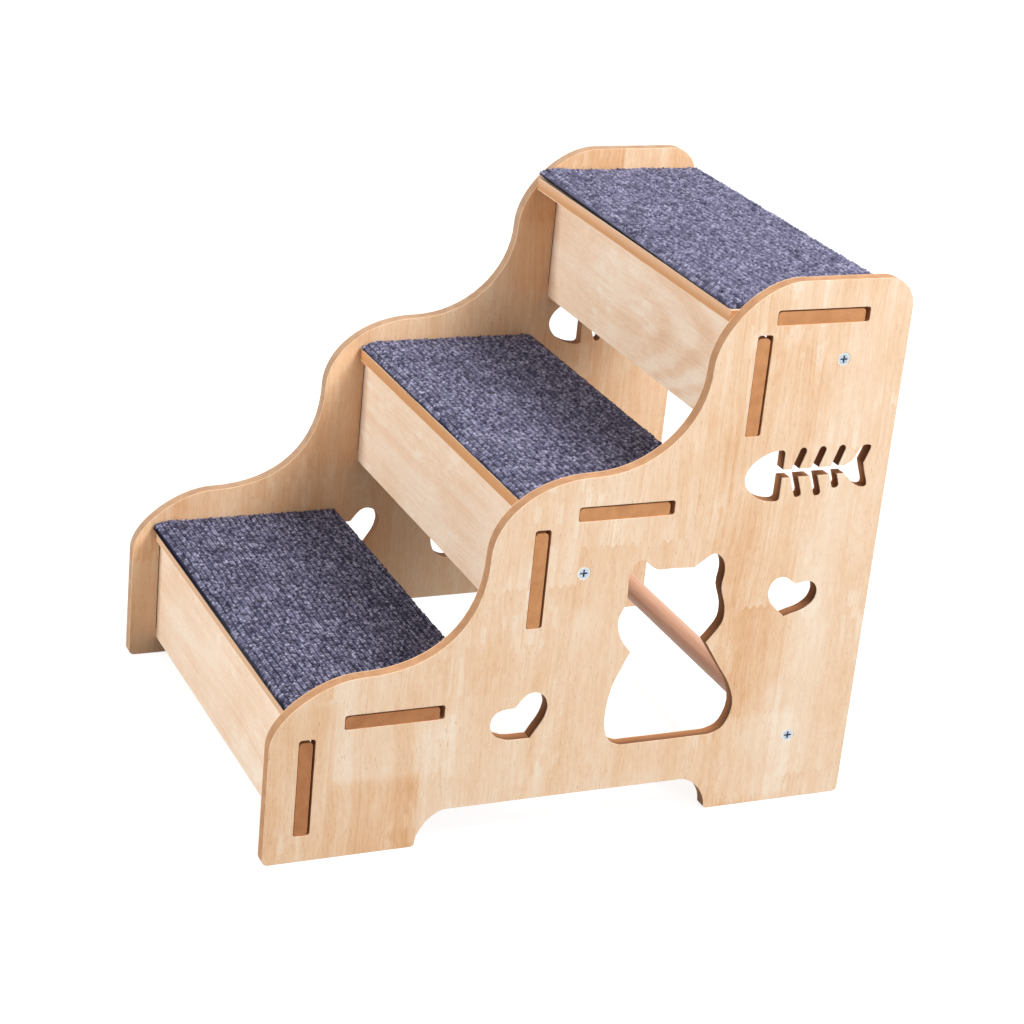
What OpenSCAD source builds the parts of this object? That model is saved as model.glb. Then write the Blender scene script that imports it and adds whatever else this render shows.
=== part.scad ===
// Three-step pet stairs: two shaped side panels hold three treads and three risers by tenons
// in mortises, and three round rails screwed between the panels keep them clamped together.
// Millimetres. X is the width, +Y the way up the stairs, +Z up; the origin is on the floor
// in the middle of the footprint.

/* [Overall] */
// Width over the outsides of the two side panels
stairs_w = 320; // [260:5:420]
// Depth of the side panels, front to back
panel_d = 420; // [350:1:500]
// Height of the upper tread's top face above the floor
climb_h = 355; // [295:1:420]
// Thickness of every board
board_t = 9; // [8:0.5:11]

/* [Lower step] */
// How far the lower tread's top lies below a third of the climb
lower_drop = 18.3; // [10:0.1:24]
// Front edge of the lower tread, behind the panels' front edge
lower_inset = 16.5; // [12:0.5:24]
// How far the lower tread stands out in front of its riser
lower_nosing = 3.5; // [1:0.5:8]
// Gap under the lower riser
lower_gap = 13; // [8:0.5:20]

/* [Middle step] */
// How far the middle tread's top lies below two thirds of the climb
middle_drop = 6.7; // [0:0.1:12]
// How far the middle tread's front edge lies behind an even third of the run
middle_shift = 13; // [0:0.5:20]
// How far the middle tread stands out in front of its riser
middle_nosing = 4; // [1:0.5:10]
// Gap between the lower tread's top and the middle riser
middle_gap = 42; // [20:1:50]

/* [Upper step] */
// How far the upper tread's front edge lies behind two even thirds of the run
upper_shift = 6.5; // [0:0.5:16]
// How far the upper tread stands out in front of its riser
upper_nosing = 17; // [8:0.5:24]
// Gap between the middle tread's top and the upper riser
upper_gap = 33.5; // [20:0.5:45]

/* [Treads and tenons] */
// Depth of the lower and the middle tread
tread_d = 135.5; // [120:0.5:142]
// Length of a tread's tenon along the tread's end
tread_tenon_l = 64; // [50:1:70]
// How far a tread's mortise lies in front of the middle of the tread's end
tread_mortise_ahead = 1.3; // [0:0.1:6]
// Shoulder of the lower riser over its tenon
lower_head_shoulder = 6.5; // [4:0.5:12]
// Shoulder of the lower riser under its tenon
lower_foot_shoulder = 5.5; // [4:0.5:12]
// Shoulder of the middle riser over its tenon
middle_head_shoulder = 6; // [4:0.5:12]
// Shoulder of the middle riser under its tenon
middle_foot_shoulder = 7; // [4:0.5:14]
// Shoulder of the upper riser over its tenon
upper_head_shoulder = 8.5; // [4:0.5:12]
// Shoulder of the upper riser under its tenon
upper_foot_shoulder = 8; // [4:0.5:14]
// How far a tenon's end stays back from the panel's outer face
tenon_recess = 0.4; // [0:0.1:1]
// Play above a tread's tenon
tread_play = 1.2; // [0.4:0.1:2]
// Play behind a tread's tenon, at the end of its mortise
tread_end_play = 3.3; // [1:0.1:5]
// Play behind a riser's tenon
riser_play = 1.6; // [0.4:0.1:2]
// Play above a riser's tenon, at the end of its mortise
riser_end_play = 2.5; // [1:0.1:5]
// Play in front of every tenon
front_play = 0.5; // [0.2:0.1:1]

/* [Side panel outline] */
// Rise of the panel above the lower tread
lower_lip = 26.5; // [20:0.5:30]
// Rise of the panel above the middle tread
middle_lip = 21; // [16:1:24]
// Rise of the panel above the upper tread
upper_lip = 20; // [16:1:26]
// Upright edge at the middle step, in front of the tread
middle_setback = 25; // [18:0.5:28]
// Upright edge at the upper step, in front of the tread
upper_setback = 12; // [6:0.5:16]
// Depth of the rounded shoulder at the lower step
lower_shoulder_d = 60; // [50:1:66]
// Depth of the rounded shoulder at the middle step
middle_shoulder_d = 67.5; // [60:1:72]
// Depth of the rounded shoulder at the upper step
upper_shoulder_d = 58.5; // [50:1:64]
// Height of the rounded shoulder at the lower step
lower_shoulder_h = 43.5; // [36:0.5:50]
// Height of the rounded shoulder at the middle step
middle_shoulder_h = 50.5; // [44:1:56]
// Height of the rounded shoulder at the upper step
upper_shoulder_h = 57; // [50:1:62]
// Radius of the top corner at the back
top_corner_r = 21; // [10:1:28]
// Radius of the outer corners at the floor
foot_corner_r = 4; // [2:0.5:8]

/* [Arch at the floor] */
// Length of the arch at the floor
arch_l = 211.5; // [180:0.5:240]
// How far the arch's middle lies in front of the panel's middle
arch_forward = 0.75; // [0:0.25:5]
// Height of the arch
arch_h = 25; // [18:0.5:32]
// Depth of the arch's rounded ends
arch_end_d = 20.5; // [14:0.5:26]
// Radius of the panel's corners at the arch's foot
arch_foot_r = 2.5; // [1:0.5:4]

/* [Cat cut-out] */
// Width of the cat
cat_w = 95.5; // [80:0.5:100]
// Wood between the cat's ears and the middle tread's underside
cat_headroom = 30; // [20:0.5:40]
// Nearest point of the cat in front of the upper tread's front edge
cat_ahead = 60.5; // [50:0.5:68]
// Height of the cat's flat base above the floor
cat_base = 57; // [52:1:60]

/* [Heart cut-outs] */
// Width of the heart beside the cat's front
front_heart_w = 41.5; // [30:0.5:44]
// Height of that heart
front_heart_h = 30.5; // [24:0.5:34]
// Tip of that heart behind the middle tread's front edge
front_heart_in = 14.5; // [10:0.5:20]
// Tip of that heart above the floor
front_heart_up = 70; // [66:0.5:76]
// Lean of that heart, in degrees towards the front
front_heart_lean = 28; // [0:1:32]
// Width of the heart behind the cat
rear_heart_w = 37.5; // [30:0.5:40]
// Height of that heart
rear_heart_h = 27.5; // [22:0.5:32]
// Tip of that heart in from the panels' back edge
rear_heart_in = 63; // [56:0.5:70]
// Tip of that heart below the middle of the fish
rear_heart_drop = 102.4; // [96:0.1:110]
// Lean of that heart, in degrees towards the front
rear_heart_lean = -13; // [-20:1:0]

/* [Fish bone cut-out] */
// Length of the fish bone
fish_l = 92.5; // [80:0.5:96]
// Height of the fish bone
fish_h = 36; // [30:1:38]
// Tail of the fish in from the panels' back edge
fish_in = 14.5; // [10:0.5:20]
// Middle of the fish's head below the upper riser's mortise
fish_drop = 29; // [24:0.5:36]
// Length of the fish's tail
fish_tail_l = 19.5; // [15:0.5:24]
// Length of the head
fish_head_l = 27.5; // [20:0.5:28]
// Height of the spine
fish_spine_h = 5.8; // [5:0.1:8]
// How far the spine's middle lies above the head's
fish_spine_lift = 1.3; // [0:0.1:3]
// Width of a rib
fish_rib_w = 5.4; // [3:0.1:6]
// Distance from one rib to the next
fish_rib_pitch = 14.6; // [12:0.2:15]
// Lean of the ribs, in degrees
fish_rib_lean = 19; // [10:1:25]

/* [Carpets] */
// Thickness of a carpet
carpet_t = 6.5; // [4:0.5:8]
// Gap between a carpet's end and the side panel
carpet_side_gap = 1; // [0.5:0.5:4]
// How far a carpet's back edge stays in from the tread's
carpet_back_gap = 0.5; // [0:0.5:4]
// How far a carpet stands out over the tread's front edge
carpet_overhang = 1; // [0:0.5:2]
// Radius of a carpet's corners
carpet_corner_r = 4; // [1:0.5:8]

/* [Rails and screws] */
// Diameter of a round rail
rail_dia = 16; // [10:0.5:20]
// Lower rail's axis above the floor
lower_rail_z = 49; // [40:0.5:60]
// Upper rail's axis below the upper tread
upper_rail_drop = 25; // [15:0.5:35]
// Lower and upper rail's axis in from the panels' back edge
rear_rail_in = 46; // [36:0.5:56]
// Middle rail's axis below the middle tread
middle_rail_drop = 36; // [24:0.5:44]
// Middle rail's axis behind the middle riser's back face
middle_rail_in = 27.5; // [20:0.5:36]
// Length of a screw over its flush head
screw_l = 40; // [30:1:50]
// Diameter of a screw's thread
screw_dia = 4.5; // [4:0.1:5]
// Diameter of a screw's countersunk head
screw_head_dia = 9; // [8:0.1:10]

/* [Hidden] */
LOWER = 0;
MIDDLE = 1;
UPPER = 2;

// Where the boards lie: the panels' inner faces, and each step's tread and riser
inner_x = stairs_w / 2 - board_t;
third_rise = climb_h / 3;
third_run = (panel_d - lower_inset) / 3;
tread_tops = [third_rise - lower_drop, 2 * third_rise - middle_drop, climb_h];
tread_fronts = [lower_inset, lower_inset + third_run + middle_shift,
                lower_inset + 2 * third_run + upper_shift];
tread_depths = [tread_d, tread_d, panel_d - tread_fronts[UPPER]];
riser_fronts = tread_fronts + [lower_nosing, middle_nosing, upper_nosing];
riser_feet = [lower_gap, tread_tops[LOWER] + middle_gap, tread_tops[MIDDLE] + upper_gap];
head_shoulders = [lower_head_shoulder, middle_head_shoulder, upper_head_shoulder];
foot_shoulders = [lower_foot_shoulder, middle_foot_shoulder, upper_foot_shoulder];
function underside(i) = tread_tops[i] - board_t;
function riser_h(i) = underside(i) - riser_feet[i];
function riser_tenon_l(i) = riser_h(i) - head_shoulders[i] - foot_shoulders[i];

// Mortises: each tenon sits on its mortise's floor, with the play above and behind it
tread_mortise_l = front_play + tread_tenon_l + tread_end_play;
tread_mortise_h = board_t + tread_play;
riser_mortise_w = front_play + board_t + riser_play;
mortise_corner_r = 2;
tenon_corner_r = 2.4;
function tread_mortise_y(i) = tread_fronts[i] + (tread_depths[i] - tread_mortise_l) / 2
    - tread_mortise_ahead;
function riser_mortise_z(i) = riser_feet[i] + foot_shoulders[i];
function riser_mortise_l(i) = riser_tenon_l(i) + riser_end_play;

// Side panel: where its edge stands upright, where it levels off, and how full each bend is
panel_h = tread_tops[UPPER] + upper_lip;
middle_edge = tread_fronts[MIDDLE] - middle_setback;
upper_edge = tread_fronts[UPPER] - upper_setback;
lower_crest = tread_tops[LOWER] + lower_lip;
middle_crest = tread_tops[MIDDLE] + middle_lip;
arch_front = (panel_d - arch_l) / 2 - arch_forward;
cat_h = underside(MIDDLE) - cat_headroom - cat_base;
fish_z = riser_mortise_z(UPPER) - fish_drop;
lower_bend_share = 0.45;
lower_sweep_share = 0.62;
middle_bend_share = 0.56;
middle_sweep_share = 0.55;
upper_bend_share = 0.47;
arch_bend_share = 0.45;
round_share = 0.5523;
bend_steps = 16;
corner_steps = 5;

// Cat outline as shares of its width and height: one run each for the front cheek and ear,
// the crown, the rear ear and cheek, and the body
cat_front_shares = [[0.14, 0.51], [0.07, 0.57], [0.03, 0.63], [0.02, 0.70], [0.06, 0.77],
    [0.065, 0.84], [0.06, 0.91], [0.095, 0.98], [0.16, 1], [0.235, 0.955], [0.28, 0.94]];
cat_crown_shares = [[0.28, 0.94], [0.42, 0.94], [0.55, 0.935]];
cat_rear_shares = [[0.55, 0.935], [0.63, 0.975], [0.70, 1], [0.77, 0.965], [0.795, 0.90],
    [0.785, 0.81], [0.83, 0.71], [0.83, 0.63], [0.78, 0.57], [0.72, 0.52]];
cat_body_shares = [[0.72, 0.52], [0.84, 0.39], [0.95, 0.27], [1, 0.155], [0.955, 0.045],
    [0.86, 0.005], [0.72, 0], [0.26, 0], [0.12, 0.005], [0.03, 0.06], [0, 0.17],
    [0.025, 0.32], [0.085, 0.43], [0.14, 0.51]];
cat_steps = 3;

// Half a heart as shares of its width and height, from the notch down to the tip
heart_shares = [[0, 0.87], [0.09, 0.925], [0.20, 0.985], [0.30, 1], [0.39, 0.955],
    [0.46, 0.86], [0.495, 0.74], [0.5, 0.62], [0.475, 0.48], [0.425, 0.385],
    [0.36, 0.29], [0.26, 0.195], [0.13, 0.10], [0, 0]];
heart_steps = 2;

// Fish bone: ribs stand on the spine, and the tail is given as shares of its length and of
// the fish's height, over its upper fin to the fork and back under its lower fin
fish_head_share = 0.5;
fish_ribs = 3;
fish_first_rib_share = 0.385;
fish_upper_rib_share = 0.97;
fish_lower_rib_shares = [0.96, 0.96, 0.71];
fish_upper_fin_shares = [[0, 0.08], [0.28, 0.16], [0.48, 0.33], [0.62, 0.44], [0.8, 0.465],
    [0.96, 0.44], [0.95, 0.36], [0.76, 0.10]];
fish_lower_fin_shares = [[0.76, 0.10], [0.84, -0.05], [0.94, -0.2], [1, -0.32], [0.94, -0.375],
    [0.73, -0.365], [0.42, -0.27], [0.2, -0.15], [0, -0.08]];
fish_steps = 2;

// Rails and screws
rail_ys = [panel_d - rear_rail_in, riser_fronts[MIDDLE] + board_t + middle_rail_in,
           panel_d - rear_rail_in];
rail_zs = [lower_rail_z, underside(MIDDLE) - middle_rail_drop,
           underside(UPPER) - upper_rail_drop];
screw_sink = 0.2;
screw_rim_h = 0.4;
screw_hole_play = 0.5;
screw_head_play = 0.2;
screw_core_share = 0.68;
screw_cone_share = 0.5;
pilot_play = 0.1;
pilot_over = 2;
recess_l_share = 0.56;
recess_w_share = 0.13;
recess_deep_share = 0.4;
screw_core_dia = screw_dia * screw_core_share;
screw_cone_h = (screw_head_dia - screw_dia) * screw_cone_share;

cut_over = 1;
veneer = "#e6c8a2";
riser_veneer = "#ecd3b4";
carpet_colour = "#585b73";
rail_colour = "#bb8a68";
zinc = "#b9bec6";
$fn = 48;

// Point at share t along the curve that four control points set
function on_curve(p, t) = (1 - t)^3 * p[0] + 3 * t * (1 - t)^2 * p[1]
    + 3 * t^2 * (1 - t) * p[2] + t^3 * p[3];
function curve(p, steps) = [for (i = [0:steps]) on_curve(p, i / steps)];

// Quarter bend from a to b that leaves and arrives along the sides of corner c
function bend(a, b, c, share, steps) =
    curve([a, a + share * (c - a), b + share * (c - b), b], steps);

// Smooth run through points: each stretch leaves along the line between its neighbours
function at(p, i) = p[max(0, min(len(p) - 1, i))];
function slope(p, i) = (at(p, i + 1) - at(p, i - 1)) / 6;
function run(p, steps) = [for (i = [0:len(p) - 2]) for (k = [0:steps - 1])
    on_curve([p[i], p[i] + slope(p, i), p[i + 1] - slope(p, i + 1), p[i + 1]], k / steps)];
function sized(shares, w, h) = [for (s = shares) [s[0] * w, s[1] * h]];

// Edge of the side panel, once round from the front corner at the floor; x is the distance
// behind the front edge and y the height
function feet_edge() = concat(
    bend([0, foot_corner_r], [foot_corner_r, 0], [0, 0], round_share, corner_steps),
    bend([arch_front - arch_foot_r, 0], [arch_front, arch_foot_r], [arch_front, 0],
         round_share, corner_steps),
    bend([arch_front, arch_foot_r], [arch_front + arch_end_d, arch_h],
         [arch_front, arch_h], arch_bend_share, bend_steps),
    bend([arch_front + arch_l - arch_end_d, arch_h], [arch_front + arch_l, arch_foot_r],
         [arch_front + arch_l, arch_h], arch_bend_share, bend_steps),
    bend([arch_front + arch_l, arch_foot_r], [arch_front + arch_l + arch_foot_r, 0],
         [arch_front + arch_l, 0], round_share, corner_steps),
    bend([panel_d - foot_corner_r, 0], [panel_d, foot_corner_r], [panel_d, 0],
         round_share, corner_steps));
function top_edge() = concat(
    bend([panel_d, panel_h - top_corner_r], [panel_d - top_corner_r, panel_h],
         [panel_d, panel_h], round_share, bend_steps),
    bend([upper_edge + upper_shoulder_d, panel_h], [upper_edge, panel_h - upper_shoulder_h],
         [upper_edge, panel_h], upper_bend_share, bend_steps),
    bend([upper_edge, panel_h - upper_shoulder_h],
         [middle_edge + middle_shoulder_d, middle_crest],
         [upper_edge, middle_crest], middle_sweep_share, bend_steps),
    bend([middle_edge + middle_shoulder_d, middle_crest],
         [middle_edge, middle_crest - middle_shoulder_h],
         [middle_edge, middle_crest], middle_bend_share, bend_steps),
    bend([middle_edge, middle_crest - middle_shoulder_h], [lower_shoulder_d, lower_crest],
         [middle_edge, lower_crest], lower_sweep_share, bend_steps),
    bend([lower_shoulder_d, lower_crest], [0, lower_crest - lower_shoulder_h],
         [0, lower_crest], lower_bend_share, bend_steps));

// Rectangle with round corners, from its lower left corner
module rounded(w, h, r) {
    translate([r, 0]) square([w - 2 * r, h]);
    translate([0, r]) square([w, h - 2 * r]);
    for (x = [r, w - r]) for (y = [r, h - r]) translate([x, y]) circle(r);
}

// Cut-out of a sitting cat
module cat_shape() {
    runs = [cat_front_shares, cat_crown_shares, cat_rear_shares, cat_body_shares];
    polygon([for (shares = runs) each run(sized(shares, cat_w, cat_h), cat_steps)]);
}

// Cut-out of a heart that stands on its tip
module heart_shape(w, h) {
    half = run(sized(heart_shares, w, h), heart_steps);
    other = [for (i = [len(half) - 1:-1:1]) [-half[i][0], half[i][1]]];
    polygon(concat(half, [[0, 0]], other));
}

// Rib of the fish bone: a round-ended bar that leans back from the spine
module fish_rib(reach) {
    rotate(-fish_rib_lean) {
        translate([-fish_rib_w / 2, 0]) square([fish_rib_w, reach - fish_rib_w / 2]);
        translate([0, reach - fish_rib_w / 2]) circle(fish_rib_w / 2);
    }
}

// Cut-out of a fish bone, from the nose back; the spine lies a little above the nose
module fish_shape() {
    half_h = fish_h / 2;
    half_w = fish_rib_w / 2;
    polygon(concat(
        bend([fish_head_l - half_w, half_h], [0, 0], [0, half_h], fish_head_share, bend_steps),
        bend([0, 0], [fish_head_l - half_w, -half_h], [0, -half_h], fish_head_share, bend_steps),
        bend([fish_head_l - half_w, -half_h], [fish_head_l, half_w - half_h],
             [fish_head_l, -half_h], round_share, corner_steps),
        bend([fish_head_l, half_h - half_w], [fish_head_l - half_w, half_h],
             [fish_head_l, half_h], round_share, corner_steps)));
    translate([0, fish_spine_lift]) {
        translate([fish_head_l - half_w, -fish_spine_h / 2])
            square([fish_l - fish_tail_l - fish_head_l + fish_rib_w, fish_spine_h]);
        for (i = [0:fish_ribs - 1])
            translate([fish_l * fish_first_rib_share + i * fish_rib_pitch, 0]) {
                fish_rib(half_h * fish_upper_rib_share / cos(fish_rib_lean));
                mirror([0, 1]) fish_rib(half_h * fish_lower_rib_shares[i] / cos(fish_rib_lean));
            }
        translate([fish_l - fish_tail_l, 0])
            polygon([for (shares = [fish_upper_fin_shares, fish_lower_fin_shares])
                each run(sized(shares, fish_tail_l, fish_h), fish_steps)]);
    }
}

// Mortises for the three treads and the three risers
module mortises() {
    for (i = [LOWER:UPPER]) {
        translate([tread_mortise_y(i), underside(i)])
            rounded(tread_mortise_l, tread_mortise_h, mortise_corner_r);
        translate([riser_fronts[i] - front_play, riser_mortise_z(i)])
            rounded(riser_mortise_w, riser_mortise_l(i), mortise_corner_r);
    }
}

module cut_outs() {
    translate([tread_fronts[UPPER] - cat_ahead, cat_base]) cat_shape();
    translate([tread_fronts[MIDDLE] + front_heart_in, front_heart_up])
        rotate(front_heart_lean) heart_shape(front_heart_w, front_heart_h);
    translate([panel_d - rear_heart_in, fish_z - rear_heart_drop])
        rotate(rear_heart_lean) heart_shape(rear_heart_w, rear_heart_h);
    translate([panel_d - fish_in - fish_l, fish_z]) fish_shape();
}

// Puts its children at a rail's end on the right panel's outer face, with Z pointing inwards
module at_rail_end(i) {
    translate([inner_x + board_t, rail_ys[i] - panel_d / 2, rail_zs[i]])
        rotate([0, -90, 0]) children();
}

// Clearance hole and countersink for a rail's screw
module screw_hole(i) {
    hole_dia = screw_dia + screw_hole_play;
    sink_dia = screw_head_dia + screw_head_play;
    at_rail_end(i) {
        translate([0, 0, -cut_over]) cylinder(d = hole_dia, h = board_t + 2 * cut_over);
        translate([0, 0, -cut_over]) cylinder(d = sink_dia, h = cut_over + screw_sink + screw_rim_h);
        translate([0, 0, screw_sink + screw_rim_h])
            cylinder(d1 = sink_dia, d2 = hole_dia, h = screw_cone_h);
    }
}

// Right side panel: the shaped board with its mortises, cut-outs and screw holes
module side_panel() {
    difference() {
        translate([inner_x, -panel_d / 2, 0]) rotate([90, 0, 90]) linear_extrude(board_t)
            difference() {
                polygon(concat(feet_edge(), top_edge()));
                mortises();
                cut_outs();
            }
        for (i = [LOWER:UPPER]) screw_hole(i);
    }
}

// Tread with a tenon at each end
module tread(i) {
    tenon_span = 2 * (inner_x + board_t - tenon_recess);
    body_l = 2 * inner_x;
    tenon_y = tread_mortise_y(i) + front_play - panel_d / 2;
    color(veneer) {
        translate([-inner_x, tread_fronts[i] - panel_d / 2, underside(i)])
            cube([body_l, tread_depths[i], board_t]);
        translate([-tenon_span / 2, tenon_y, underside(i)]) rotate([90, 0, 90])
            linear_extrude(tenon_span) rounded(tread_tenon_l, board_t, tenon_corner_r);
    }
}

// Riser with a tenon at each end, butted against the underside of its tread
module riser(i) {
    tenon_span = 2 * (inner_x + board_t - tenon_recess);
    front = riser_fronts[i] - panel_d / 2;
    color(riser_veneer) {
        translate([-inner_x, front, riser_feet[i]])
            cube([2 * inner_x, board_t, riser_h(i)]);
        translate([-tenon_span / 2, front, riser_mortise_z(i)]) rotate([90, 0, 90])
            linear_extrude(tenon_span) rounded(board_t, riser_tenon_l(i), tenon_corner_r);
    }
}

// Ribbed carpet laid on a tread, with rounded corners
module carpet(i) {
    carpet_w = 2 * (inner_x - carpet_side_gap);
    carpet_d = tread_depths[i] + carpet_overhang - carpet_back_gap;
    color(carpet_colour)
        translate([-carpet_w / 2, tread_fronts[i] - carpet_overhang - panel_d / 2, tread_tops[i]])
            linear_extrude(carpet_t) rounded(carpet_w, carpet_d, carpet_corner_r);
}

// Round rail between the panels, with a pilot hole for a screw in each end
module rail(i) {
    pilot_dia = screw_core_dia + pilot_play;
    pilot_l = screw_l - board_t + pilot_over;
    color(rail_colour) difference() {
        translate([-inner_x, rail_ys[i] - panel_d / 2, rail_zs[i]]) rotate([0, 90, 0])
            cylinder(d = rail_dia, h = 2 * inner_x);
        for (flip = [0, 1]) mirror([flip, 0, 0]) at_rail_end(i)
            cylinder(d = pilot_dia, h = board_t + pilot_l);
    }
}

// Countersunk wood screw: rim, cone, shank through the panel and core in the rail
module screw(i) {
    recess_l = screw_head_dia * recess_l_share;
    recess_w = screw_head_dia * recess_w_share;
    color(zinc) at_rail_end(i) difference() {
        union() {
            translate([0, 0, screw_sink]) cylinder(d = screw_head_dia, h = screw_rim_h);
            translate([0, 0, screw_sink + screw_rim_h])
                cylinder(d1 = screw_head_dia, d2 = screw_dia, h = screw_cone_h);
            translate([0, 0, screw_sink + screw_rim_h])
                cylinder(d = screw_dia, h = board_t - screw_sink - screw_rim_h);
            translate([0, 0, screw_sink]) cylinder(d = screw_core_dia, h = screw_l);
        }
        for (turn = [0, 90]) rotate(turn)
            translate([-recess_l / 2, -recess_w / 2, screw_sink - cut_over])
                cube([recess_l, recess_w, cut_over + screw_head_dia * recess_deep_share / 2]);
    }
}

module side_panel_right() { color(veneer) side_panel(); }
module side_panel_left() { color(veneer) mirror([1, 0, 0]) side_panel(); }
module tread_lower() { tread(LOWER); }
module tread_middle() { tread(MIDDLE); }
module tread_upper() { tread(UPPER); }
module riser_lower() { riser(LOWER); }
module riser_middle() { riser(MIDDLE); }
module riser_upper() { riser(UPPER); }
module carpet_lower() { carpet(LOWER); }
module carpet_middle() { carpet(MIDDLE); }
module carpet_upper() { carpet(UPPER); }
module rail_lower() { rail(LOWER); }
module rail_middle() { rail(MIDDLE); }
module rail_upper() { rail(UPPER); }
module screw_right_lower() { screw(LOWER); }
module screw_right_middle() { screw(MIDDLE); }
module screw_right_upper() { screw(UPPER); }
module screw_left_lower() { mirror([1, 0, 0]) screw(LOWER); }
module screw_left_middle() { mirror([1, 0, 0]) screw(MIDDLE); }
module screw_left_upper() { mirror([1, 0, 0]) screw(UPPER); }

side_panel_left();
side_panel_right();
tread_lower();
tread_middle();
tread_upper();
riser_lower();
riser_middle();
riser_upper();
carpet_lower();
carpet_middle();
carpet_upper();
rail_lower();
rail_middle();
rail_upper();
screw_left_lower();
screw_left_middle();
screw_left_upper();
screw_right_lower();
screw_right_middle();
screw_right_upper();
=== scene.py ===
"""Dresses the pet stairs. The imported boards, rails and screws stay where they are and get
veneer, fibreboard, turned wood and zinc; three ribbed carpets are made anew on the treads."""
import math
import bpy
import numpy as np
from mathutils import Matrix, Vector


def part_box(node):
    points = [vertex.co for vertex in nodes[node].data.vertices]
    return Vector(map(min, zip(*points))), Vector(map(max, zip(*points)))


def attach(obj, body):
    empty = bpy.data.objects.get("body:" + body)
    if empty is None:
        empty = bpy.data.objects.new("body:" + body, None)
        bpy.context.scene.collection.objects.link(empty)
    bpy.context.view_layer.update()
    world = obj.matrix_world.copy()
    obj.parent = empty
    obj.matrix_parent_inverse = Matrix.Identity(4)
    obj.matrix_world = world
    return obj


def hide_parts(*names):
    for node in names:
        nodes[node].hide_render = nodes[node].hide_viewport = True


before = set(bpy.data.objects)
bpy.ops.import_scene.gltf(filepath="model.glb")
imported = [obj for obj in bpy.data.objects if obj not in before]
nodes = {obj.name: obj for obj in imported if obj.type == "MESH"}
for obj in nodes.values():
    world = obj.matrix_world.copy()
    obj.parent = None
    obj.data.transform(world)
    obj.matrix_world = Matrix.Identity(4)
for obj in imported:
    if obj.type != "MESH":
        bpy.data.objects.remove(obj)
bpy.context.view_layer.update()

MM = 0.001
STEPS = ("lower", "middle", "upper")
SIDES = ("left", "right")

# in mm: how far a side panel's inner face, middle and outer face stand from the middle of the
# stairs, half the thickness of every board, and how deep its veneer gives way to core
PANEL_IN, PANEL_MIDDLE, PANEL_OUT = 151.0, 155.5, 160.0
HALF_BOARD = 4.5
VENEER_ENDS = (0.5, 0.72)


def tone(r, g, b):
    """A colour as the eye counts it, 0 to 255, turned into the linear RGBA that nodes take."""
    c = np.array([r, g, b]) / 255
    lin = np.where(c <= 0.04045, c / 12.92, ((c + 0.055) / 1.055) ** 2.4)
    return (*(float(x) for x in lin), 1.0)


# ---- materials ----

class Value:
    """A number coming out of a node. Its operators add the Math node for that sum."""

    def __init__(self, finish, socket):
        self.finish, self.socket = finish, socket

    def maths(self, operation, *others):
        terms = dict(enumerate((self, *others)))
        return self.finish.node("Math", {"operation": operation}, terms)

    def turned(self, operation, other):
        return self.finish.node("Math", {"operation": operation}, {0: other, 1: self})

    def __add__(self, other): return self.maths("ADD", other)
    def __sub__(self, other): return self.maths("SUBTRACT", other)
    def __mul__(self, other): return self.maths("MULTIPLY", other)
    def __truediv__(self, other): return self.maths("DIVIDE", other)
    def __pow__(self, other): return self.maths("POWER", other)
    def __radd__(self, other): return self.turned("ADD", other)
    def __rsub__(self, other): return self.turned("SUBTRACT", other)
    def __rmul__(self, other): return self.turned("MULTIPLY", other)
    def __rtruediv__(self, other): return self.turned("DIVIDE", other)
    def floor(self): return self.maths("FLOOR")
    def size(self): return self.maths("ABSOLUTE")
    def wave(self): return self.maths("SINE")
    def root(self): return self.maths("SQRT")


class Graph:
    """A node tree. Every node in it is added by node, with its settings, numbers and links."""

    def __init__(self, tree):
        self.tree = tree

    def node(self, kind, settings=None, values=None, out=0):
        """Adds a node: its settings first, then the numbers or links of its sockets."""
        made = self.tree.nodes.new("ShaderNode" + kind)
        for key, value in (settings or {}).items():
            if key == "stops":
                ramp = made.color_ramp
                while len(ramp.elements) < len(value):
                    ramp.elements.new(0.5)
                for element, (place, colour) in zip(ramp.elements, value):
                    element.position, element.color = place, colour
            else:
                setattr(made, key, value)
        for key, value in (values or {}).items():
            self.join(value, made.inputs[key])
        return Value(self, made.outputs[out]) if made.outputs else made

    def join(self, value, socket):
        if isinstance(value, Value):
            self.tree.links.new(value.socket, socket)
        else:
            socket.default_value = value


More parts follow.
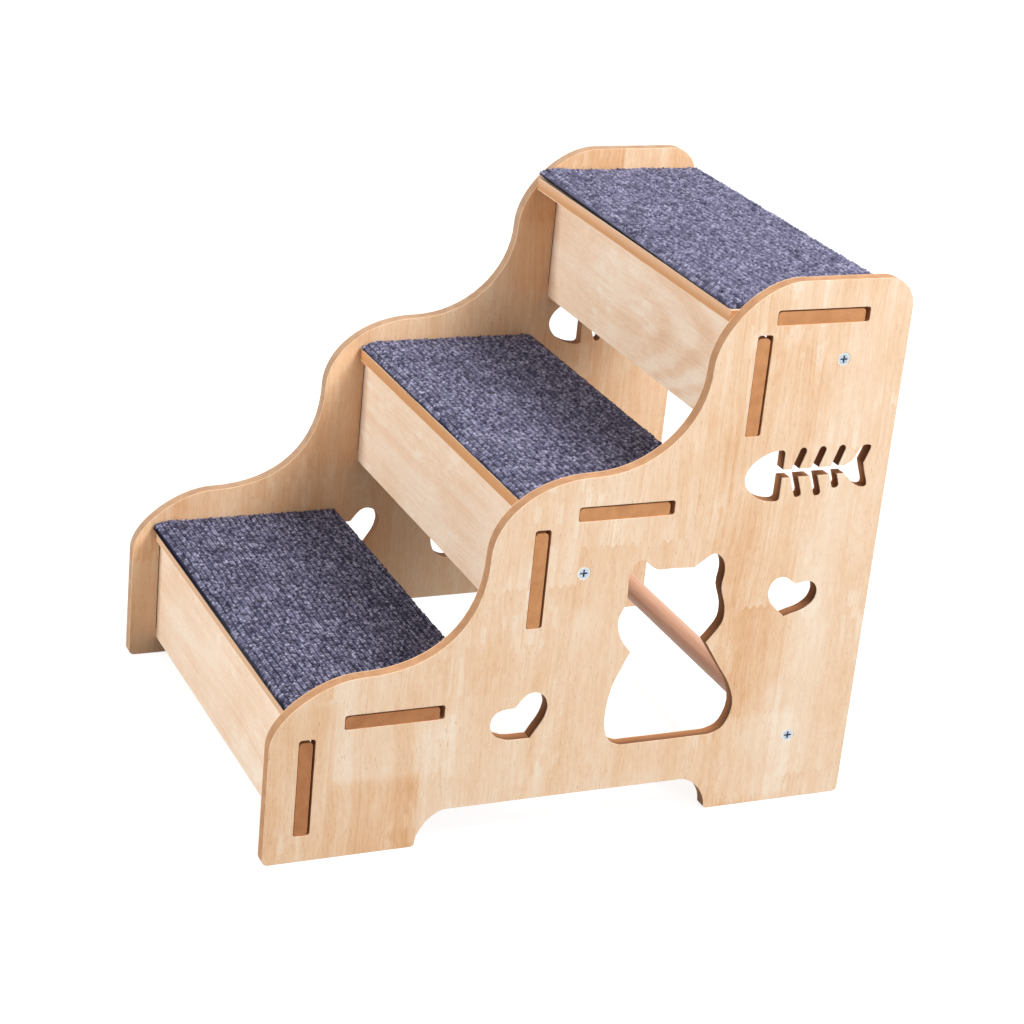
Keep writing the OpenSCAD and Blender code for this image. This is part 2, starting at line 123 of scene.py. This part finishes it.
class Finish(Graph):
    """A procedural material: one Principled shader and the nodes that feed it."""

    def __init__(self, name, roughness=0.6, metallic=0.0, specular=0.5, sheen=0.0):
        self.material = bpy.data.materials.new(name)
        self.material.use_nodes = True
        super().__init__(self.material.node_tree)
        self.shader = self.tree.nodes["Principled BSDF"]
        for key, value in (("Roughness", roughness), ("Metallic", metallic),
                           ("Specular IOR Level", specular), ("Sheen Weight", sheen)):
            self.feed(key, value)

    def feed(self, key, value):
        self.join(value, self.shader.inputs[key])

    def place(self):
        """The piece's own coordinates in millimetres, as three numbers."""
        here = self.node("TexCoord", out="Object")
        return [self.node("SeparateXYZ", None, {0: here}, out=i) / MM for i in range(3)]

    def point(self, x, y, z):
        return self.node("CombineXYZ", None, {0: x, 1: y, 2: z})

    def noise(self, where, detail=3.0, rough=0.5):
        """Cloudy noise about 0; where is already divided by the size of its clouds."""
        clouds = self.node("TexNoise", None, {"Vector": where, "Scale": 1.0, "Detail": detail,
                                              "Roughness": rough})
        return clouds - 0.5

    def chance(self, where):
        """A number from 0 to 1 that is the same all over one whole-numbered place."""
        return self.node("TexWhiteNoise", None, {"Vector": where})

    def ramp(self, value, low, high, to=(0.0, 1.0)):
        """Smooth step of value from low to high."""
        return self.node("MapRange", {"interpolation_type": "SMOOTHSTEP"},
                         {"Value": value, "From Min": low, "From Max": high,
                          "To Min": to[0], "To Max": to[1]})

    def stops(self, value, *stops):
        """The colour that value, from 0 to 1, has between the named stops."""
        return self.node("ValToRGB", {"stops": stops}, {"Fac": value})

    def mix(self, share, one, other, how="MIX"):
        return self.node("Mix", {"data_type": "RGBA", "blend_type": how},
                         {0: share, 6: one, 7: other}, out=2)

    def bump(self, height, depth):
        """Normal from a height of 0 to 1 that stands for depth millimetres."""
        return self.node("Bump", None, {"Height": height, "Strength": 1.0,
                                        "Distance": depth * MM})


def veneer(finish, along, across, seed, tones, rows=(), patches=(), peak=None):
    """Colour and height of veneer whose grain runs along one axis. Bands, clouds, streaks,
    mottle and fine lines are noise drawn out along the grain, added up to one warmth that tones
    turn to colour; pores are short dark dashes. Where rows are given, the leaf is made of rows
    of staves, each stave with its own warmth, that end in fine teeth. Patches are places
    (across, along, half width, half length, warmth) that are made paler or warmer: figure of
    the wood, and on the left side panel also painted light.
    open along the grain and lean a little. All lengths are in mm, and the second row of staves
    starts second_row before the middle."""
    own, lively, warmth = 0.5, 0.4, 0.43
    stave_width, stave_length, second_row = 80.0, 240.0, 170.0
    tooth_width, tooth_length = 0.9, 1.3
    if rows:
        row = ((across + second_row) / stave_width).floor()
        row_chance = finish.chance(finish.point(row, seed, 0.5))
        teeth = (across / tooth_width).wave() * tooth_length
        piece = ((along + row_chance * stave_length + teeth) / stave_length).floor()
        own = finish.chance(finish.point(row, piece, seed + 3.3))
        lively = finish.chance(finish.point(row, piece, seed + 8.1))
        row_tone = finish.node("ValToRGB", {"stops": [
            (i / len(rows), (share, share, share, 1)) for i, share in enumerate(rows)]},
            {"Fac": (row + 1.5) / len(rows)})
        row_tone.socket.node.color_ramp.interpolation = "CONSTANT"
        row_share = finish.node("SeparateColor", None, {0: row_tone})
        warmth = warmth + (own - 0.5) * 0.14 + (row_share - 0.5)
    shift = own * 40.0 + seed
    # the grain wanders from side to side
    bent = across + finish.noise(finish.point(across / 60.0, along / 240.0, shift), 2.0) * 24.0

    def drawn(width, length, offset, detail=3.0, rough=0.55):
        """Noise whose clouds are width across the grain and length along it."""
        return finish.noise(finish.point(bent / width, along / length, shift + offset),
                            detail, rough)

    bands = drawn(15.0, 330.0, 0.0)
    clouds = drawn(44.0, 70.0, 13.0, 4.0)
    streaks = drawn(1.9, 110.0, 4.0, 3.0, 0.6)
    fine = drawn(0.75, 22.0, 9.0, 2.0, 0.6)
    mottle = drawn(2.2, 7.0, 21.0, 3.0, 0.65)
    warmth = warmth + bands * 0.7 + clouds * 0.7
    warmth = warmth + streaks * (0.2 + lively * 0.45) + fine * 0.42 + mottle * 0.42
    # short pale figure: in some places narrow columns are paler over part of their length
    column_width = 3.6
    column = finish.chance(finish.point((bent / column_width).floor(), seed, 7.7))
    run = finish.noise(finish.point(column * 9.0, along / 30.0, seed + 31.0), 1.0)
    some = finish.noise(finish.point(across / 70.0, along / 90.0, seed + 37.0), 2.0)
    warmth = warmth - finish.ramp(run, 0.02, 0.09) * finish.ramp(some, 0.0, 0.08) * 0.16
    ragged = fine * 9.0 + mottle * 14.0
    side_blur, end_blur = 1.5, 4.0
    for middle, height, half_width, half_length, amount in patches:
        aside = (across - middle).size() + mottle * 6.0
        beyond = (along - height).size() + ragged
        inside = (finish.ramp(aside, half_width + side_blur, half_width - side_blur)
                  * finish.ramp(beyond, half_length + end_blur, half_length - end_blur))
        warmth = warmth + inside * amount
    if peak:
        away = along - peak[0]
        lean = (across - peak[1] - away * 0.22) / 33.5
        uneven = finish.noise(finish.point(along / 60.0, across / 15.0, seed), 3.0)
        rings = (away / 60.0 + lean ** 2.0) * 6.0 + uneven * 3.0
        near = finish.ramp(away.size(), 120.0, 5.0)
        warmth = warmth + finish.ramp(rings.wave(), -0.8, 1.0, (-0.1, 0.18)) * near
    colour = finish.stops(warmth, *zip(WARMTH_STOPS, tones))
    dashes = finish.ramp(drawn(0.6, 5.0, 17.0, 1.0), 0.15, 0.25)
    colour = finish.mix(dashes * PORE_SHARE, colour, tones[4])
    return colour, fine * 0.5 + streaks * 0.3 - dashes * 0.6 + 0.5


def fibreboard(finish, x, y, z, seed, plain, dark):
    """Colour and height of a sawn fibreboard edge: fine specks, and faint cloudy darkening."""
    specks = finish.noise(finish.point(x / 0.5, y / 0.5, z / 0.5 + seed), 2.0, 0.7)
    clouds = finish.noise(finish.point(x / 9.0, y / 9.0, z / 9.0 + seed), 3.0)
    colour = finish.mix(finish.ramp(specks * 0.6 + clouds * 0.5, -0.16, 0.14), dark, plain)
    return colour, specks + 0.5


# pale, plain, warm, deep and pore; the warmth at which the first four stand, and how much of
# the fifth a pore takes
WARMTH_STOPS, PORE_SHARE = (0.08, 0.34, 0.6, 0.92), 0.42
VENEER_TONES = [tone(247, 229, 207), tone(242, 214, 185), tone(235, 197, 160),
                tone(221, 170, 124), tone(184, 132, 92)]
RISER_TONES = [tone(247, 230, 210), tone(243, 219, 194), tone(235, 201, 170),
               tone(222, 178, 142), tone(206, 160, 122)]
# sawn fibreboard, plain and dark, of the side panels and of each step's boards
SIDE_CORES = {"right": (tone(196, 150, 111), tone(172, 125, 88)),
              "left": (tone(199, 163, 132), tone(177, 139, 109))}
CORES = {"lower": (tone(186, 127, 82), tone(164, 107, 67)),
         "middle": (tone(208, 150, 101), tone(187, 128, 82)),
         "upper": (tone(208, 148, 99), tone(187, 128, 82))}
# painted shade: the warm tint of a side panel's inner face, which lies between the boards
INNER_SHADE_TINT = tone(255, 244, 231)
# the cut-outs of a side panel (middle y, middle z, half width, half height, in mm): the cat,
# the heart before it, the heart behind it and the fish bone. Their walls are darkened, partly
# burnt by the cutter and partly painted shade down in the holes; the tones are those at the inner
# and at the outer face
CUT_OUTS = ((65, 121, 56, 77), (-45, 86, 34, 28), (150, 156, 30, 26), (149, 242, 54, 30))
BURNT_AND_SHADED = tone(174, 118, 76), tone(92, 52, 28)
# what shows along each tread's front edge, at its top and at its bottom: painted lighter than the
# core as painted light, with a painted highlight at the top arris and painted shade lower down
LIT_FRONTS = {"lower": (tone(240, 204, 172), tone(230, 192, 156)),
          "middle": (tone(216, 163, 112), tone(208, 150, 99)),
          "upper": (tone(242, 200, 164), tone(214, 158, 108))}


def board(name, seed, thick_axis, middle, grain_axis, tones, core_tones, front=None, **figure):
    """Veneered fibreboard. The veneer is the outermost layer of the two faces that lie either
    side of middle (in mm, counted from the stairs' middle on either side) along thick_axis;
    everything deeper in shows as brown core. front holds the painted light along a tread's
    front edge, a painted highlight at the top and painted shade below, and figure goes on to
    veneer."""
    finish = Finish(name, specular=0.35)
    place = finish.place()
    third = 3 - thick_axis - grain_axis
    out = place[0].size()
    depth_in = HALF_BOARD - (place[thick_axis].size() - middle).size()
    core = finish.ramp(depth_in, *VENEER_ENDS)
    wood, wood_height = veneer(finish, place[grain_axis], place[third], seed, tones, **figure)
    if thick_axis == 0:  # painted shade: a side panel's inner face is tinted warmer, for the warm light bounced between the boards
        inside = finish.ramp(out, middle, middle - 1.0)
        wood = finish.mix(inside, wood, finish.mix(1.0, wood, INNER_SHADE_TINT, "MULTIPLY"))
    else:  # a tenon's end is all core
        core = core.maths("MAXIMUM", finish.ramp(out, PANEL_IN + 0.2, PANEL_IN + 0.6))
    edge, edge_height = fibreboard(finish, *place, seed, *core_tones)
    if thick_axis == 0:
        for y, z, half_width, half_height in CUT_OUTS:
            inside = (finish.ramp((place[1] - y).size(), half_width + 1, half_width - 1)
                      * finish.ramp((place[2] - z).size(), half_height + 1, half_height - 1))
            # painted shade, partly real burn: the cut-out walls darken towards the outer face
            burnt_and_shaded = finish.mix(finish.ramp(out, PANEL_IN + 1, PANEL_OUT + 1), *BURNT_AND_SHADED)
            edge = finish.mix(inside * 0.9, edge, burnt_and_shaded)
    # painted light: a tread's front edge is paler at its top arris and darker lower down
    if front:
        strip = finish.mix(finish.ramp(place[2] - middle, -3.0, 4.0), front[1], front[0])
        strip = finish.mix(0.25, strip, edge)
        edge = finish.mix(finish.ramp(out, PANEL_IN - 0.6, PANEL_IN), strip, edge)
    finish.feed("Base Color", finish.mix(core, wood, edge))
    finish.feed("Roughness", finish.ramp(core, 0, 1, (0.5, 0.78)))
    finish.feed("Normal", finish.bump(wood_height * (1 - core) + edge_height * core, 0.05))
    return finish.material


def turned_wood(name):
    """Plain round bar: quiet straight grain along X in a pinkish brown."""
    finish = Finish(name, specular=0.45)
    x, y, z = finish.place()
    streaks = finish.noise(finish.point(x / 70.0, y / 2.4, z / 2.4), 3.0, 0.55)
    fine = finish.noise(finish.point(x / 9.0, y / 0.45, z / 0.45), 2.0, 0.6)
    colour = finish.stops(streaks + fine * 0.4 + 0.5, (0.3, tone(208, 157, 129)),
                          (0.5, tone(216, 168, 141)), (0.75, tone(223, 179, 153)))
    finish.feed("Base Color", colour)
    finish.feed("Roughness", finish.ramp(streaks, -0.3, 0.3, (0.38, 0.52)))
    finish.feed("Normal", finish.bump(fine, 0.03))
    return finish.material


def zinc(name, axis_y, axis_z):
    """Zinc plated steel of the screws on one axis: a cloudy skin, a painted pale reflection round
    the rim, and painted shade down in the recess, darkest round its middle."""
    finish = Finish(name, metallic=1.0)
    x, y, z = finish.place()
    cloud = finish.noise(finish.point(x / 1.2, y / 1.2, z / 1.2), 3.0)
    out = ((y - axis_y) ** 2.0 + (z - axis_z) ** 2.0).root()
    face = finish.ramp(x.size(), PANEL_OUT - 1.4, PANEL_OUT - 0.4)
    colour = finish.mix(finish.ramp(cloud, -0.15, 0.2), tone(164, 176, 188), tone(188, 197, 206))
    # painted reflection: a pale ring round the rim
    colour = finish.mix(finish.ramp(out, 3.4, 3.9), colour, tone(208, 208, 203))
    # painted shade: the recess below the head's face is darker
    colour = finish.mix(face, tone(112, 124, 138), colour)
    # painted shade: darker still round the middle of the recess
    finish.feed("Base Color", finish.mix(finish.ramp(out, 0.3, 1.6, (0.7, 0)), colour,
                                         tone(84, 98, 112)))
    finish.feed("Roughness", finish.ramp(cloud, -0.2, 0.2, (0.3, 0.46)))
    finish.feed("Normal", finish.bump(cloud, 0.03))
    return finish.material


# the yarn from its darkest loops to its palest, and the painted shade down between the loops
YARN_TONES = ((18, 15, 38), (62, 60, 88), (119, 117, 147), (170, 168, 197), (214, 213, 234))
GAP_SHADE_TONE = tone(12, 8, 32)


def pile(name, seed, share, contrast):
    """Looped carpet yarn. The piece's attributes tell how high a point lies in its loop and
    how pale its loop's yarn is; low points take the gap's dark tone, painted shade between the
    loops. Fibres are fine noise on its own UV map, in millimetres. share darkens all the yarn's
    tones, and contrast below 1 brings its loops and gaps nearer to one tone, which lightens that
    painted shade."""
    finish = Finish(name, roughness=0.95, specular=0.1, sheen=0.12)
    high = finish.node("Attribute", {"attribute_name": "pile_height"}, out="Fac")
    yarn = finish.node("Attribute", {"attribute_name": "yarn"}, out="Fac")
    flat = finish.node("UVMap", {"uv_map": "cloth"})
    u, v = (finish.node("SeparateXYZ", None, {0: flat}, out=i) / MM for i in range(2))
    fibres = finish.noise(finish.point(u / 1.1, v / 0.8, seed), 3.0, 0.7)
    blotch = finish.noise(finish.point(u / 14.0, v / 10.0, seed + 5.0), 3.0, 0.6)
    mixed = ((yarn - 0.5) * 0.55 + fibres * 0.85) * contrast + blotch * 0.45 + 0.5
    colour = finish.stops(mixed, *((i / 4, tone(*(share * c for c in shade)))
                                   for i, shade in enumerate(YARN_TONES)))
    gap_shade = GAP_SHADE_TONE
    if contrast < 1:
        gap_shade = finish.mix(1 - contrast ** 2.0, GAP_SHADE_TONE, colour)
    # painted shade: the low points of the pile take the dark gap tone
    finish.feed("Base Color", finish.mix(finish.ramp(high, 0.1, 0.78), gap_shade, colour))
    finish.feed("Normal", finish.bump(fibres + 0.5, 0.4))
    return finish.material


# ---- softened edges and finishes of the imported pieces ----

def soften(piece, width):
    """Rounds the arrises by width mm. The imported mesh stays: its loose triangles are welded
    and its flat faces joined by modifiers before the bevel."""
    piece.data.shade_smooth()
    weld = piece.modifiers.new("weld", "WELD")
    weld.merge_threshold = 0.01 * MM
    flat = piece.modifiers.new("flat", "DECIMATE")
    flat.decimate_type = "DISSOLVE"
    flat.angle_limit = math.radians(0.5)
    bevel = piece.modifiers.new("bevel", "BEVEL")
    bevel.width = width * MM
    bevel.segments = 2
    bevel.limit_method = "ANGLE"
    bevel.angle_limit = math.radians(40)
    flat_shading = piece.modifiers.new("flat shading", "WEIGHTED_NORMAL")
    flat_shading.mode = "FACE_AREA"
    flat_shading.weight = 100


def dress(name, material, width):
    """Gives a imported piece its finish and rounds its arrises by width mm."""
    piece = nodes[name]
    piece.data.materials.clear()
    piece.data.materials.append(material)
    soften(piece, width)


def middle_of(name, axis):
    """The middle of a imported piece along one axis, in mm."""
    low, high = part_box(name)
    return (low[axis] + high[axis]) / 2 / MM


# warmth of a side panel's stave rows from its front edge to its back edge, and its patches;
# the left panel's pale patch along its front edge is painted light on its shaded inner face
PANEL_FIGURE_AND_LIGHT = {
    "right": dict(rows=(0.58, 0.54, 0.47, 0.50, 0.56, 0.44), patches=(
        (-137, 25, 30, 28, 0.26), (-189, 50, 22, 60, 0.10), (-98, 72, 15, 22, -0.13),
        (140, 36, 27, 32, -0.17), (-5, 190, 7, 30, 0.14), (116, 118, 26, 44, 0.05),
        (120, 300, 34, 52, 0.05))),
    "left": dict(rows=(0.60, 0.52, 0.57, 0.50, 0.58, 0.44), patches=(
        # painted light: the pale patch along the front edge lifts the shaded inner face
        (120, 350, 90, 30, 0.12), (-200, 70, 12, 130, -0.12)))}

for no, side in enumerate(SIDES):
    panel = board("panel veneer " + side, 3.0 + 5 * no, 0, PANEL_MIDDLE, 2, VENEER_TONES,
                  SIDE_CORES[side], **PANEL_FIGURE_AND_LIGHT[side])
    dress("side_panel_" + side, panel, 0.4)
for no, step in enumerate(STEPS):
    tread = board("tread veneer " + step, 21.0 + no, 2, middle_of("tread_" + step, 2), 0,
                  VENEER_TONES, CORES[step], LIT_FRONTS[step])
    dress("tread_" + step, tread, 0.35)
    riser = board("riser veneer " + step, 31.0 + no, 1, abs(middle_of("riser_" + step, 1)), 0,
                  RISER_TONES, CORES[step], peak=(79.0, 311.0) if step == "upper" else None)
    dress("riser_" + step, riser, 0.35)
bar = turned_wood("turned bar")
for step in STEPS:
    rail = "rail_" + step
    dress(rail, bar, 0.5)
    steel = zinc("zinc plate " + step, middle_of(rail, 1), middle_of(rail, 2))
    for side in SIDES:
        dress(f"screw_{side}_{step}", steel, 0.12)


# ---- carpets ----

def carpet(step, across, front, back, droop, flare, curl, share, contrast, seed):
    """Ribbed looped carpet, worked out on a grid of u across and v front to back, in mm.
    The height is edge(u, v) * (floor_h - trodden(v) + loop_h * rib * (0.14 + 0.86 * loop)
    * lift) with a little random drift: ribs are two rounded sines of v that wander with u, one
    a pair of rows wide and one a row, loops are a sine of u whose phase changes from row to
    row, lift is each loop's own height, and the edge is a rounded step. The front border is
    trodden down to front_h and the pile rises from there over rise mm. across holds the x of
    the left and the right border, front and back the y of those borders at the left and the
    right end. Where it stands out over its tread the front border droops; flare pulls its
    front left corner out and curl lifts it. share and contrast are those of the yarn."""
    rng = np.random.default_rng(seed)
    pitch, loop_l, border = 4.25, 2.6, 1.4
    front_border, front_h, rise = 4.0, 2.8, 14.0
    floor_h, loop_h = 4.4, 2.0
    grid_u, grid_v = 0.81, 0.58
    corner_r, ragged = 1.8, 4
    left, width = across[0], across[1] - across[0]
    length = (sum(back) - sum(front)) / 2
    close = np.array([0, 0.02, 0.09, 0.25, 0.6])
    close_front = np.array([0, 0.02, 0.08, 0.18, 0.35, 0.6, 0.9, 1.3, 1.75])

    def lines(total, spacing, start):
        """Grid lines over total mm, evenly spaced but for the close ones at either border."""
        inside = np.linspace(start[-1] + 0.5, total - border, int((total - 2 * border) / spacing))
        return np.concatenate([start, inside, (total - close)[::-1]])

    def drift(at, size, swing):
        """Smooth random wander along a line: random knots joined by cosine steps."""
        knots = rng.uniform(-1, 1, int(at.max() / size) + 3)
        place = at / size
        whole = place.astype(int)
        part = (1 - np.cos(np.pi * (place - whole))) / 2
        return swing * (knots[whole] * (1 - part) + knots[whole + 1] * part)

    us = lines(width, grid_u, close)
    vs = lines(length, grid_v, close_front)
    u, v = np.meshgrid(us, vs)
    along = v + drift(us, 23, 0.5)[None, :] + drift(us, 7, 0.25)[None, :]
    count, most = int(2 * length / pitch) + 6, int(width / loop_l) + 8
    phase, slip = rng.uniform(0, 1, count), rng.normal(0, 0.16, (count, most))

    def cells(along):
        """Each point's row, its place among that row's loops, and its loop."""
        row_no = np.floor(2 * along / pitch).astype(int) + 2
        in_row = u / loop_l + phase[row_no] + 0.3 * np.sin(u / 7.3 + 2.1 * row_no)
        return row_no, in_row, np.floor(in_row).astype(int) + 1

    row_no, in_row, loop_no = cells(along)
    along = along + slip[row_no, loop_no]  # each loop slips a little, so the rows aren't straight
    row_no, in_row, loop_no = cells(along)
    pair, row = np.abs(np.sin(np.pi * along / pitch)), np.abs(np.sin(2 * np.pi * along / pitch))
    rib = 0.55 * pair ** 0.6 + 0.45 * row ** 0.7
    loop = np.abs(np.sin(np.pi * in_row)) ** 0.9
    yarn = rng.beta(1.6, 1.6, (count, most))[row_no, loop_no]
    lift = rng.uniform(0.6, 1.08, (count, most))[row_no, loop_no]
    high = rib * (0.14 + 0.86 * loop) * lift
    far = np.minimum(np.minimum(u, width - u), np.minimum(v, length - v))
    beside = np.minimum(np.minimum(u, width - u), length - v)
    edge = (1 - (1 - np.clip(beside / border, 0, 1)) ** 2.5) ** 0.4
    edge = np.minimum(edge, (1 - (1 - np.clip(v / front_border, 0, 1)) ** 2) ** 0.5)
    risen = np.sin(np.pi / 2 * np.clip(v / rise, 0, 1))
    trodden = (floor_h + loop_h - front_h) * (1 - risen)
    thick = floor_h - trodden + loop_h * high + rng.uniform(-0.12, 0.12, u.shape)
    height = edge * (thick + drift(us, 40, 0.2)[None, :] + drift(vs, 30, 0.3)[:, None])
    # rounded corners: the square of a corner is drawn onto a quarter disc
    cu = np.clip((np.abs(u - width / 2) - (width / 2 - corner_r)) / corner_r, 0, 1)
    cv = np.clip((np.abs(v - length / 2) - (length / 2 - corner_r)) / corner_r, 0, 1)
    side_u, side_v = np.sign(u - width / 2), np.sign(v - length / 2)
    pull_u = corner_r * (cu - cu * np.sqrt(1 - cv * cv / 2)) * side_u
    pull_v = corner_r * (cv - cv * np.sqrt(1 - cu * cu / 2)) * side_v
    # the cut border is uneven: ribs end proud of the valleys between them, and so do loops
    near = np.clip(1 - far / ragged, 0, 1) ** 2
    beside_end = np.minimum(u, width - u) < ragged
    beside_front = np.minimum(v, length - v) < ragged
    ends = 1.2 * rib * lift - 0.8 + drift(vs, 17, 0.4)[:, None]
    fronts = 0.8 * loop * lift - 0.6 + drift(us, 21, 0.3)[None, :]
    x = left + u - pull_u + near * side_u * ends * beside_end - 0.5 * side_u
    v_moved = v - pull_v + near * side_v * fronts * beside_front
    end = u / width
    y_front = front[0] * (1 - end) + front[1] * end
    y_back = back[0] * (1 - end) + back[1] * end
    y = y_front + (y_back - y_front) * v_moved / length - flare * np.exp(-u / 14 - v / 10)
    overhang = max(0.1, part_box("tread_" + step)[0].y / MM - sum(front) / 2)
    hang = droop * np.clip(1 - v / overhang, 0, 1) ** 1.5
    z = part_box("tread_" + step)[1].z / MM + 0.05 + height - hang
    z = z + curl * np.exp(-u / 12 - v / 12)
    points = np.stack([x, y, z], -1).reshape(-1, 3) * MM
    rows, columns = u.shape
    index = np.arange(rows * columns).reshape(rows, columns)
    quads = np.stack([index[:-1, :-1], index[:-1, 1:], index[1:, 1:], index[1:, :-1]], -1)
    # the underside is flat: one strip from end to end for each row, and a face at either border
    under = np.stack([index[1:-2, 0], index[2:-1, 0], index[2:-1, -1], index[1:-2, -1]], -1)
    ends_under = [[*index[0, ::-1], index[1, 0], index[1, -1]],
                  [*index[-1, :], index[-2, -1], index[-2, 0]]]
    faces = quads.reshape(-1, 4).tolist() + under.tolist() + ends_under
    mesh = bpy.data.meshes.new("carpet " + step)
    mesh.from_pydata(points.tolist(), [], faces)
    # painted shade: low points and the outermost 1.3 mm take more of the dark gap tone; at the
    # cut border this is partly the dark backing
    seen = np.clip(high, 0, 1) * (0.68 + 0.32 * np.clip(far / 1.3, 0, 1))
    for name, data in (("pile_height", seen), ("yarn", yarn)):
        made = mesh.attributes.new(name, "FLOAT", "POINT")
        made.data.foreach_set("value", data.astype(np.float32).ravel())
    corner = np.zeros(len(mesh.loops), np.int32)
    mesh.loops.foreach_get("vertex_index", corner)
    flat = np.stack([u, v], -1).reshape(-1, 2)[corner] * MM
    mesh.uv_layers.new(name="cloth").data.foreach_set("uv", flat.astype(np.float32).ravel())
    mesh.shade_smooth()
    piece = bpy.data.objects.new("carpet_cloth_" + step, mesh)
    bpy.context.scene.collection.objects.link(piece)
    mesh.materials.append(pile("carpet yarn " + step, seed * 1.7, share, contrast))
    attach(piece, "root")
    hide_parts("carpet_" + step)


# painted light: each step's share and contrast are set to how that step is lit, and the upper
# carpet's lower contrast lightens its painted gap shade
carpet("lower", (-150.5, 150), (-194.4, -194.4), (-57.2, -59.3), 1.6, 2.4, 2.4, 0.97, 1.0, 11)
carpet("middle", (-150.5, 150), (-46.0, -46.2), (88.0, 86.5), 0, 1.0, 0.3, 1.0, 0.97, 12)
carpet("upper", (-150.5, 150), (84.2, 81.4), (210.6, 210.6), 0, 3.2, 3.8, 0.98, 0.85, 13)


# ---- floor, light and camera ----

def white_to_camera(graph, plain, seen):
    """Camera, glossy and transmission rays get the seen shader; all others the plain one."""
    rays = [graph.node("LightPath", out=f"Is {kind} Ray")
            for kind in ("Camera", "Glossy", "Transmission")]
    seen_by = rays[0].maths("MAXIMUM", rays[1]).maths("MAXIMUM", rays[2])
    return graph.node("MixShader", None, {0: seen_by, 1: plain, 2: seen})


def studio():
    """Pale floor, a soft fill all round, a broad lamp from the right, one from the front and one
    high up behind, which leaves the back of the lower carpets in the shade of their risers."""
    scene = bpy.context.scene
    scene.view_settings.view_transform = "Standard"
    floor = bpy.data.materials.new("studio floor")
    floor.use_nodes = True
    floor.node_tree.nodes.clear()
    graph = Graph(floor.node_tree)
    grey = graph.node("BsdfDiffuse", None, {"Color": (0.28, 0.28, 0.28, 1)})
    pale = graph.node("BsdfDiffuse", None, {"Color": (0.4, 0.4, 0.4, 1)})
    glow = graph.node("Emission", None, {"Strength": 0.86})
    both = graph.node("AddShader", None, {0: pale, 1: glow})
    graph.node("OutputMaterial", None, {0: white_to_camera(graph, grey, both)})
    reach, level = 6, -0.0004
    mesh = bpy.data.meshes.new("floor")
    mesh.from_pydata([(-reach, -reach, level), (reach, -reach, level), (reach, reach, level),
                      (-reach, reach, level)], [], [(0, 1, 2, 3)])
    mesh.materials.append(floor)
    ground = bpy.data.objects.new("floor", mesh)
    scene.collection.objects.link(ground)

    scene.world = scene.world or bpy.data.worlds.new("studio")
    scene.world.use_nodes = True
    scene.world.node_tree.nodes.clear()
    graph = Graph(scene.world.node_tree)
    fill = graph.node("Background", None, {"Color": (1, 0.975, 0.94, 1), "Strength": 0.34})
    white = graph.node("Background", None, {"Color": (1, 1, 1, 1), "Strength": 1.0})
    graph.node("OutputWorld", None, {0: white_to_camera(graph, fill, white)})

    def lamp(name, place, aim, size, power):
        """A square lamp of size metres that stands at place and shines at aim."""
        light = bpy.data.lights.new(name, "AREA")
        light.size, light.energy = size, power
        holder = bpy.data.objects.new(name, light)
        away = Vector(aim) - Vector(place)
        holder.matrix_world = (Matrix.Translation(place)
                               @ away.to_track_quat("-Z", "Y").to_matrix().to_4x4())
        scene.collection.objects.link(holder)

    middle = (0, 0, 0.18)
    lamp("lamp right", (4.6, 1.0, 2.2), middle, 2.2, 76)
    lamp("lamp front", (-0.8, -4.4, 1.2), middle, 2.2, 146)
    lamp("lamp back", (0.9, 0.95, 2.0), (0, 0.05, 0.25), 0.9, 52)


def camera():
    """The photograph's camera: it stands to the right, in front and above, looks down 22.3
    degrees and is rolled by 5.8 degrees."""
    data = bpy.data.cameras.new("camera")
    data.sensor_width, data.lens = 36.0, 90.8
    view = bpy.data.objects.new("camera", data)
    right = Vector((0.39384, 0.91447, 0.09293))
    up = Vector((-0.38435, 0.07200, 0.92037))
    turn = Matrix((right, up, right.cross(up))).transposed()
    view.matrix_world = Matrix.Translation((1.49984, -0.69940, 0.84148)) @ turn.to_4x4()
    bpy.context.scene.collection.objects.link(view)
    bpy.context.scene.camera = view


studio()
camera()
